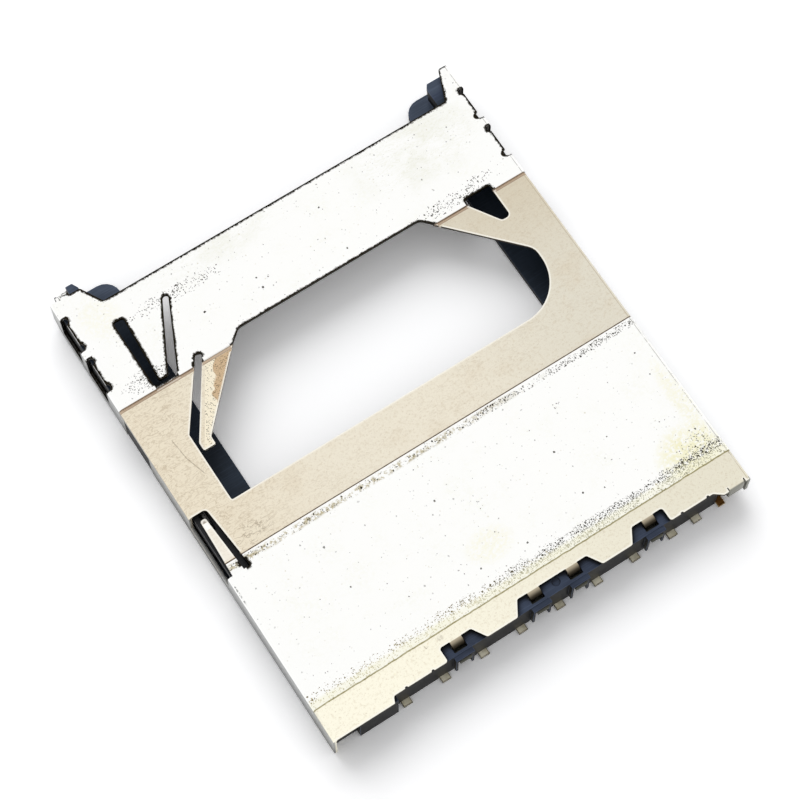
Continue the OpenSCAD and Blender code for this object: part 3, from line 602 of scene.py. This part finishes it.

# Tongues: the pad has worn to gold along its root. The pin tongue is painted pale, white at its bend
# as a painted highlight, and grey at its tip as painted shade.
pad_slope = 0.62
pad_line_x = 12.3
pad_side_x = 3.5
pad_tip_y = -2.3
gold_end_y = -4.4
pad_line = pad_slope * y - x + pad_line_x
pad = pad_line.rise(0.0, 0.05) * y.band(step_front_y + 0.17, pad_tip_y, 0.01)
pad = pad * x.rise(pad_side_x, pad_side_x + 0.1) * level
pad_gold = (pad_line + (patches - 0.5) * 1.2).rise(0.72, 0.8)
pad_gold = pad_gold * (1 - y.rise(gold_end_y, gold_end_y + 0.4))
colour = pad.tint(colour, pad_gold.tint(rgb(247, 238, 216), rgb(210, 184, 150)))
pin_x = (12.5, 13.25)
pin_tip_y = 0.7
pin_bend_y = 1.12
pin_flat_y = 1.52
pin = x.band(*pin_x, 0.01) * level
# Painted highlight and shade on the pin tongue: pale on its flat, white on its bend and grey on its
# tip.
for start, end, strength, tone in (
        (pin_flat_y, step_mid_y - 0.1, 0.6, rgb(250, 246, 238)),
        (pin_bend_y, pin_flat_y, 1.0, rgb(255, 255, 253)),
        (pin_tip_y, pin_bend_y - 0.02, 0.8, rgb(150, 142, 140))):
    colour = (pin * y.band(start, end, cut_soft) * strength).tint(colour, tone)

# Specks: dark pits in rows in front of the steps and in a few patches, some of them olive
loose_waves = 9.0
loose_shift = 0.09
drift = maker.node(
    "ShaderNodeTexNoise", None, {"Vector": place, "Scale": loose_waves, "Detail": 1.0}, "Color")
drift = maker.node(
    "ShaderNodeVectorMath", {"operation": "SCALE"}, {"Vector": drift, "Scale": loose_shift})
loose = maker.node(
    "ShaderNodeVectorMath", {"operation": "ADD"}, {"Vector": place, "Vector_001": drift})
stray = patches - 0.5
rear_row = (y + stray * 0.5).band(step_rear_y - 0.85, step_rear_y - 0.03, 0.14)
mid_row = (y + stray * 0.3).band(step_mid_y + 0.15, step_mid_y + 0.5, 0.1)
share = (
    0.002 + patches.rise(0.6, 0.78) * 0.03
    + mid_row * (patches.rise(0.36, 0.6) * 0.3 + switch_side.rise(0.5, 0.9) * 0.25)
    + rear_row * (0.16 + switch_side.rise(0.2, 0.7) * 0.46) * patches.rise(0.27, 0.52)
    + spots(x, y, (
        ((7.2, -11.4), (3.8, 0.6), 0.24),
        ((11.0, -7.8), (1.9, 0.8), 0.36),
        ((-8.6, -7.6), (2.6, 0.55), 0.26),
        ((-10.9, -8.0), (1.2, 0.4), 0.24),
        ((-12.2, step_rear_y - 1.0), (1.4, 1.2), 0.2))))
dark = pits(maker, loose, per_mm=7.0, share=share * 0.45, size=0.36)
dark = dark.most(pits(maker, loose, per_mm=13.0, share=share * 1.4, size=0.4))
dark = dark.most(pits(maker, loose, per_mm=1.7, share=0.03 + share * 0.3, size=0.1))
sparkle = pits(maker, loose, per_mm=15.0, share=0.3 + pad_gold * 0.1, size=0.42) * pad
olive_row = (y + stray * 0.4).band(step_rear_y - 0.6, step_rear_y - 0.08, 0.12)
olive_row = olive_row * (0.35 - switch_side.rise(0.3, 0.9) * 0.3)
ochre = mid_row * (1 - switch_side.rise(0.4, 0.9)) * (leather + patches * 0.5).rise(0.68, 0.86)
ochre = ochre.most(pits(maker, loose, per_mm=11.0, share=olive_row * (0.4 + patches), size=0.5))
colour = (ochre * bright * 0.75).tint(colour, rgb(170, 154, 100))
olive = y.rise(step_rear_y - 1.2, step_rear_y - 1.0) * (1 - switch_side.rise(0.3, 0.6))
speck = olive.tint(rgb(52, 46, 34), rgb(126, 113, 72))
colour = ((dark * bright + sparkle * 0.75) * level).tint(colour, speck)

# Lines along the steps: brown at the front one, dark at the middle one, olive at the rear one
front_line = y.band(step_front_y - 0.02, step_front_y + 0.16, 0.015)
thin_lines = (
    y.band(step_front_y - 0.03, step_front_y + 0.01, line_soft) * 0.7
    + y.band(step_front_y + 0.13, step_front_y + 0.16, line_soft) * 0.5
    + y.band(step_mid_y - 0.07, step_mid_y, line_soft) * 1.1)
colour = (front_line * 0.85).tint(colour, rgb(190, 166, 142))
colour = (thin_lines * (0.5 + leather * 0.8)).tint(colour, rgb(92, 72, 54))
wave = (maker.grain(place, scale=2.0, detail=3.0) - 0.5) * 0.1
rear_line = (y + wave).band(step_rear_y - 0.03, step_rear_y + 0.04, line_soft)
halo = y.band(step_rear_y - 0.45, step_rear_y, 0.15) * bright * (0.4 + patches)
colour = (halo * 0.6).tint(colour, rgb(247, 244, 216))
colour = (rear_line * (0.4 + leather * 0.8)).tint(colour, rgb(152, 142, 92))

# Wear: a long scratch and a rub on the band, and a nick and a dab on the strip
scratches = (
    ((11.95, -3.95), (11.8, -2.6), 0.04),
    ((11.8, -2.6), (11.4, -1.3), 0.04),
    ((6.7, 13.35), (6.65, 13.6), 0.03),
    ((6.65, 13.6), (6.5, 13.55), 0.03))
wear = (
    sum(scratch(x, y, start, end, width) for start, end, width in scratches) * 0.5
    + patch(x, y, (10.9, 3.0), (1.5, 0.8)) * crease * 0.4
    + patch(x, y, (5.7, 13.5), (0.22, 0.22)) * 0.35)
colour = (wear * leather.rise(0.3, 0.55)).tint(colour, rgb(128, 114, 96))

# Side walls and folds: the walls are painted grey, darker towards the board, as painted shade. Thin
# grey and brown lines run along the bends, and a dark line on the slider-side fold is painted shade.
# Painted shade: the walls are painted grey and darker towards the board, for the shadowed floor that
# they reflect.
wall = across.rise(side_x - 0.16, side_x - 0.04) * (1 - up.rise(0.15, 0.6))
painted_wall_shade = z.rise(0.3, 2.4).tint(rgb(108, 109, 109), rgb(164, 165, 163))
colour = (wall * (0.7 + leather * 0.5)).tint(colour, painted_wall_shade)
low_edge = across.rise(side_x - 0.35, side_x - 0.3) * level * (1 - z.rise(2.45, 2.55))
colour = low_edge.tint(colour, rgb(136, 136, 134))
fold_line = across.band(side_x - 0.22, side_x - 0.17, line_soft) * bright
fold_line = fold_line * (patches + leather).rise(0.85, 1.05) * switch_side.rise(0.5, 0.6)
colour = (fold_line * 0.55).tint(colour, rgb(140, 138, 130))
# Painted shade: a dark line on the slider-side fold beside a slot's end, where the wall's inner edge
# lies in shade.
fold_shade_line = x.band(side_x - 0.16, side_x - 0.08, 0.02) * y.band(4.9, 6.2, 0.2)
colour = (fold_shade_line * leather.rise(0.45, 0.6) * 0.8).tint(colour, rgb(70, 70, 68))
satin_fold = across.band(side_x - 0.2, side_x - 0.15, line_soft) * (1 - bright) * switch_side
colour = (satin_fold * 0.5).tint(colour, rgb(176, 160, 132))

# Cut edges: pale rims on the satin, a painted highlight. Cut faces are painted dark, partly bare cut
# steel and partly painted shade. Ragged dark rims mark where the bright plating has chipped, and
# dark discs at the switch-side fold slots' ends are painted shade.
rim_reach = 0.25
tilt = maker.math("SQRT", maker.lean(rim_reach, samples=16).most(0.0)).most(maker.rim())
# Painted highlight: pale rims along the satin's top edges.
painted_edge_highlight = tilt.rise(0.1, 0.2) * (1 - riser) * (1 - bright) * level * on_top
colour = (painted_edge_highlight * 0.75).tint(colour, rgb(254, 252, 244))
flap_y = 15.0
flap_x = -12.0
flap = y.rise(flap_y, flap_y + 0.05) * (1 - x.rise(flap_x, flap_x + 0.1))
# The cut faces are painted dark: partly the bare cut steel, and partly painted shade for the dark
# that they reflect.
cut = (1 - up.rise(0.35, 0.6)) * inner * (1 - riser) * on_top * (1 - flap)
window_front_y = (-9.4, -6.5)
mouth_y = front_y + 1.0
raggedness = maker.grain(place, scale=5.5, detail=3.0, rough=0.7)
thinner = x.band(*window_x, 0.1) * y.band(*window_front_y, 0.1) * 0.05
thinner = thinner + (1 - y.rise(mouth_y, mouth_y + 0.2)) * switch_side.rise(0.35, 0.7) * 0.12
ragged = (tilt + (raggedness - 0.48) * 0.6 - thinner).rise(0.04, 0.08) * tilt.rise(0.0, 0.02)
ragged = ragged * bright * (1 - riser) * (1 - fold) * up.rise(-0.2, 0.1)
# Painted shade: dark discs at the ends of the switch-side fold slots, where the wall inside lies in
# shade.
slot_end_x = 0.4 - side_x
slot_end_r = 0.26
slot_end_shade = spots(x, y, [
    ((slot_end_x, front_y + end), (slot_end_r, slot_end_r), 1.0) for end in (3.81, 6.68)])
ragged = ragged.most(slot_end_shade.rise(0.2, 0.5))
colour = cut.most(ragged).tint(colour, bright.tint(rgb(52, 44, 34), rgb(36, 32, 24)))

# Rear tabs, their clinched feet, the corner flap and the insides of the fold slots, painted darker
# as painted shade
tab_places = (-7.45, -2.45, 0.05, 5.05)
tab_half = 0.42
tab_y = 13.98
tab = sum(x.near(tab_place, tab_half, cut_soft) for tab_place in tab_places)
bend = tab * y.band(tab_y, tab_y + 0.46, cut_soft) * on_top
# Painted shade: each tab's bend darkens from pale to dark brown down the bend.
painted_bend_shade = y.rise(tab_y, tab_y + 0.34).tint(rgb(182, 170, 148), rgb(58, 52, 42))
colour = bend.tint(colour, painted_bend_shade)
# Painted shade: the clinched feet in their recesses under the bars.
foot = y.rise(tab_y + 0.02, tab_y + 0.12) * (1 - on_top) * inner
colour = (foot * (1 - flap)).tint(colour, rgb(88, 88, 80))
# Painted shade: the flap's upright faces and the fold slots' insides are painted grey.
colour = (flap * (1 - level) * 0.9).tint(colour, rgb(130, 130, 123))
slot_inside_shade = slot_zone * (1 - x.rise(slot_end_x, slot_end_x + 0.02))
colour = (slot_inside_shade * (1 - level) * 0.85).tint(colour, rgb(70, 68, 64))
feed(
    plate,
    Base_Color=colour,
    Roughness=0.34 + (1 - bright) * 0.12 + leather * 0.1 + dark * 0.2,
    Normal=maker.bump(
        leather + fine * 0.5 - dark * bright + crease * creased * 0.6,
        strength=0.25, depth=0.012))
dress(broken_edges("shell", shell_edge), plate, "socket_frame")


# Floor: a plain white sheet that the socket lies on, which keeps its shadow.
# To the camera and in reflections it is a little brighter, so that it meets the white room evenly.
floor_half = 0.6
paper_tone = (0.88, 0.88, 0.88, 1)
seen_level = 1.34
seen_tone = (seen_level * 0.995, seen_level * 0.997, seen_level * 1.006, 1)
work = bmesh.new()
bmesh.ops.create_grid(work, x_segments=1, y_segments=1, size=floor_half)
floor = place_mesh(work, "floor")
paper, maker, place = new_finish("white_paper", Roughness=0.9, Specular_IOR_Level=0.0)
ray = maker.node("ShaderNodeLightPath", output="Is Camera Ray")
feed(paper, Base_Color=ray.most(ray.out("Is Glossy Ray")).tint(paper_tone, seen_tone))
floor.data.materials.append(paper)


# Light: a white room, and one wide soft lamp above and in front of the card mouth, on the
# switch side, so that the shadow falls on the slider side and behind the rear edge.
room_level = 0.58
lamp_level = 1.0
lamp_size = 0.45
lamp_place = Vector((-0.05, -0.31, 0.335))
world = bpy.data.worlds.new("white_room")
world.use_nodes = True
tree = world.node_tree
room = tree.nodes["Background"]
maker = Shade(tree)
ray = maker.node("ShaderNodeLightPath", output="Is Camera Ray")
plain = ray.most(ray.out("Is Glossy Ray")).most(ray.out("Is Transmission Ray"))
tree.links.new((room_level + plain * (1 - room_level)).socket, room.inputs["Strength"])
room.inputs["Color"].default_value = (1, 1, 1, 1)
bpy.context.scene.world = world
lamp = bpy.data.lights.new("soft_lamp", "AREA")
lamp.shape = "DISK"
lamp.size = lamp_size
lamp.energy = lamp_level
lamp_object = bpy.data.objects.new("soft_lamp", lamp)
lamp_object.location = lamp_place
lamp_object.rotation_euler = (-lamp_place).to_track_quat("-Z", "Y").to_euler()
lamp_object.visible_glossy = False
bpy.context.scene.collection.objects.link(lamp_object)


# Camera: a long lens above the rear corner on the slider side, looking down on the shell,
# with a slight roll.
aim = Vector((0.00011, 0.00092, 0.0028))
view_from = Vector((0.02669, 0.0427, 0.13357))
roll = -0.0088
camera = bpy.data.cameras.new("photo_view")
camera.lens = 113.6
camera.sensor_width = 36
camera_object = bpy.data.objects.new("photo_view", camera)
camera_object.location = view_from
level_turn = (aim - view_from).to_track_quat("-Z", "Y")
camera_object.rotation_euler = (level_turn @ Quaternion((0, 0, 1), roll)).to_euler()
bpy.context.scene.collection.objects.link(camera_object)
bpy.context.scene.camera = camera_object
bpy.context.scene.view_settings.view_transform = "Standard"
